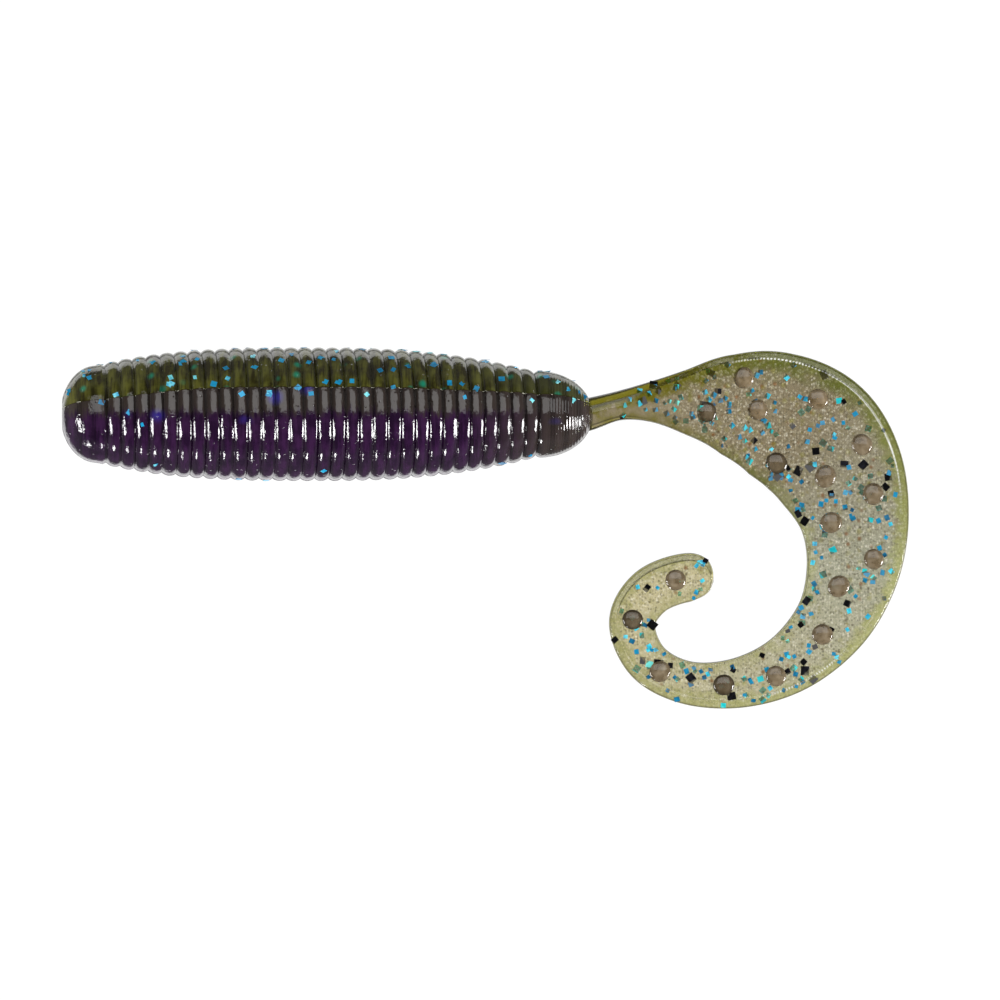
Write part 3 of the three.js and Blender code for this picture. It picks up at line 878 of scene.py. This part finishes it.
def tail_bend(made, stretch):
    """Bakes a piece's transform into its mesh; the joint and the ends of its stretch that it looks
    up are not used.
    """
    cut = cuts[stretch]
    center, ahead, _, _, _ = tail_section(cut)
    for end in (ends[stretch], ends[stretch + 1]):
        end_center, _, outward, half_width, _ = tail_section(end)
    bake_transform(made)


neck_root = ribbon("neck_root", ROOT_START, ROOT_END, clear_pvc)
bend_with_body(neck_root)
for stretch in range(len(cuts)):
    made = ribbon(f"tail_{stretch + 1:02d}", ends[stretch], ends[stretch + 1], clear_pvc)
    tail_bend(made, stretch)
    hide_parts(tail_nodes[stretch])
    if stretch == len(cuts) - 1:
        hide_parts(tail_nodes[stretch + 1])


# ---------- bumps ----------
# Low round bumps stand on the upper face of the ribbon, moulded in one with it. They are
# a thicker, browner spot of the clear pour.

BUMP_RADIUS = 1.1 * MM
BUMP_HEIGHT = 0.4 * MM

# Distance along the tail and distance out from its centre line, in mm.
TAIL_BUMPS = [
    (12.5, -1.0), (16.0, 3.0), (18.0, 0.0), (22.5, -4.5), (23.0, 3.5), (28.0, 3.5),
    (29.0, -1.5), (32.5, 2.5), (34.5, -2.5), (38.5, 2.0), (42.0, -1.0), (47.5, 0.0),
    (54.0, 0.5), (59.5, 0.0), (66.5, 0.0), (73.0, 0.0), (79.5, 0.0),
]
DARK_BUMPS = (1, 4, 14, 16)  # these are painted darker, with a stronger painted dark rim

taupe_pvc, tree, surface = new_material("poured_pvc_taupe")
spot = add_node(tree, "SeparateXYZ", {}, {
    0: add_node(tree, "Attribute", {"attribute_name": "bump"}).outputs["Vector"]})
place = add_node(tree, "Attribute", {"attribute_name": "moulded_at"}).outputs["Vector"]
cloud = add_node(tree, "TexNoise", {"Scale": 1 / 0.7, "Detail": 4.0}, {"Vector": place})
mottle = add_node(tree, "MapRange", {"From Min": 0.3, "From Max": 0.7},
                  {"Value": cloud.outputs["Fac"]})
pour = add_node(tree, "Mix", {
    "data_type": "RGBA", 6: linear("#7d6a4c"), 7: linear("#bba88a")},
    {0: mottle.outputs[0]}).outputs[2]
# Painted shade: a dark ring is painted round the rim of each bump, and the bumps in DARK_BUMPS are
# painted darker all over.
painted_rim_shade = add_node(tree, "MapRange", {
    "From Min": 0.6, "From Max": 0.98, "To Max": 0.75}, {"Value": spot.outputs["X"]})
painted_rim_shade = add_node(tree, "Math", {"operation": "MULTIPLY"},
                {0: painted_rim_shade.outputs[0], 1: spot.outputs["Y"]})
darker_fill = add_node(tree, "MapRange", {
    "From Min": 0.4, "From Max": 1.0, "To Max": 0.55}, {"Value": spot.outputs["Y"]})
pour = add_node(tree, "Mix", {"data_type": "RGBA", 7: linear("#4f4430")},
                {0: darker_fill.outputs[0], 6: pour}).outputs[2]
pour = add_node(tree, "Mix", {"data_type": "RGBA", 7: linear("#2b2315")},
                {0: painted_rim_shade.outputs[0], 6: pour}).outputs[2]
plastic = add_node(tree, "BsdfPrincipled", {
    "Roughness": 0.08, "IOR": 1.45, "Transmission Weight": 0.55}, {"Base Color": pour})
tree.links.new(plastic.outputs[0], surface)


def tail_stretch(along):
    """The number of the stretch of the tail that a distance along it falls in."""
    return max(i for i in range(len(cuts)) if i == 0 or ends[i] <= along)


for number, (along, across) in enumerate(TAIL_BUMPS, 1):
    center, _, outward, _, half_thickness = tail_section(along * MM)
    bm = bmesh.new()
    bmesh.ops.create_uvsphere(bm, u_segments=28, v_segments=16, radius=BUMP_RADIUS)
    bmesh.ops.bisect_plane(bm, geom=[*bm.verts, *bm.edges, *bm.faces], plane_co=(0, 0, 0),
                           plane_no=(0, 0, 1), clear_inner=True, dist=1e-7)
    bmesh.ops.edgeloop_fill(bm, edges=[edge for edge in bm.edges if edge.is_boundary])
    bmesh.ops.recalc_face_normals(bm, faces=bm.faces)
    layer = bm.verts.layers.float_vector.new("bump")
    darkness = 1 if number in DARK_BUMPS else 0.35
    for vert in bm.verts:
        vert[layer] = Vector((vert.co.to_2d().length / BUMP_RADIUS, darkness, 0))
    stretched = sparkle.uniform(0.92, 1.12)
    bmesh.ops.scale(bm, vec=(stretched, 1, BUMP_HEIGHT / BUMP_RADIUS), verts=bm.verts)
    bmesh.ops.rotate(bm, matrix=Matrix.Rotation(sparkle.uniform(0, 3), 3, "Z"),
                     verts=bm.verts)
    top = center + outward * across * MM + Vector((0, 0, half_thickness))
    bmesh.ops.translate(bm, vec=top, verts=bm.verts)
    made = piece(bm, f"bump_{number:02d}", taupe_pvc)
    tail_bend(made, tail_stretch(along * MM))


# ---------- glitter in the tail ----------
# Squares of the same kind of film: deep blue, larger black ones, and teal ones that mostly
# lie just under the skin. In the clear pour they all lie almost flat.

black_film = film_material("metallised_film_black", "#010102", "#050507", "#1c1c22", 0.0,
                            0.12)
deep_film = film_material("metallised_film_deep_blue", "#0a3f5e", "#177fa6", "#45cde0", 0.0,
                           0.2)
teal_film = film_material("metallised_film_sunk", "#048a94", "#10b8bc", "#6fe6dc", 0.0,
                           0.3)


def tail_flakes(count, smallest, largest, depths):
    """Flakes spread evenly over the ribbon, each with its distance along the tail."""
    spread = []
    while len(spread) < count:
        along = sparkle.uniform(3 * MM, TAIL_LENGTH - 1 * MM)
        center, _, outward, half_width, half_thickness = tail_section(along)
        if sparkle.random() > half_width / (7 * MM) + 0.15:
            continue
        share = sparkle.uniform(-0.9, 0.9)
        surface_height = half_thickness * (
            1 if along > FLAT_FROM else math.sqrt(1 - share ** 2))
        if share > 0.8:
            surface_height *= 0.85
        height = surface_height * sparkle.uniform(*depths)
        tilt = Vector([sparkle.gauss(0, 0.06) for _ in range(3)])
        spread.append((along, (center + outward * share * half_width
                               + Vector((0, 0, height)), Vector((0, 0, 1)) + tilt,
                               sparkle.uniform(smallest, largest) * MM,
                               sparkle.uniform(0.75, 1), sparkle.uniform(0, 3))))
    return spread


for kind, material, spread in (
        ("blue", deep_film, tail_flakes(190, 0.38, 0.6, (0.99, 1.02))),
        ("black", black_film, tail_flakes(50, 0.5, 1.0, (0.99, 1.03))),
        ("sunk", teal_film, tail_flakes(80, 0.4, 0.75, (0.88, 1.01)))):
    for stretch in range(len(cuts)):
        flakes = [flake for along, flake in spread if tail_stretch(along) == stretch]
        if flakes:
            made = glitter(f"glitter_{kind}_{stretch + 1:02d}", flakes, material)
            tail_bend(made, stretch)
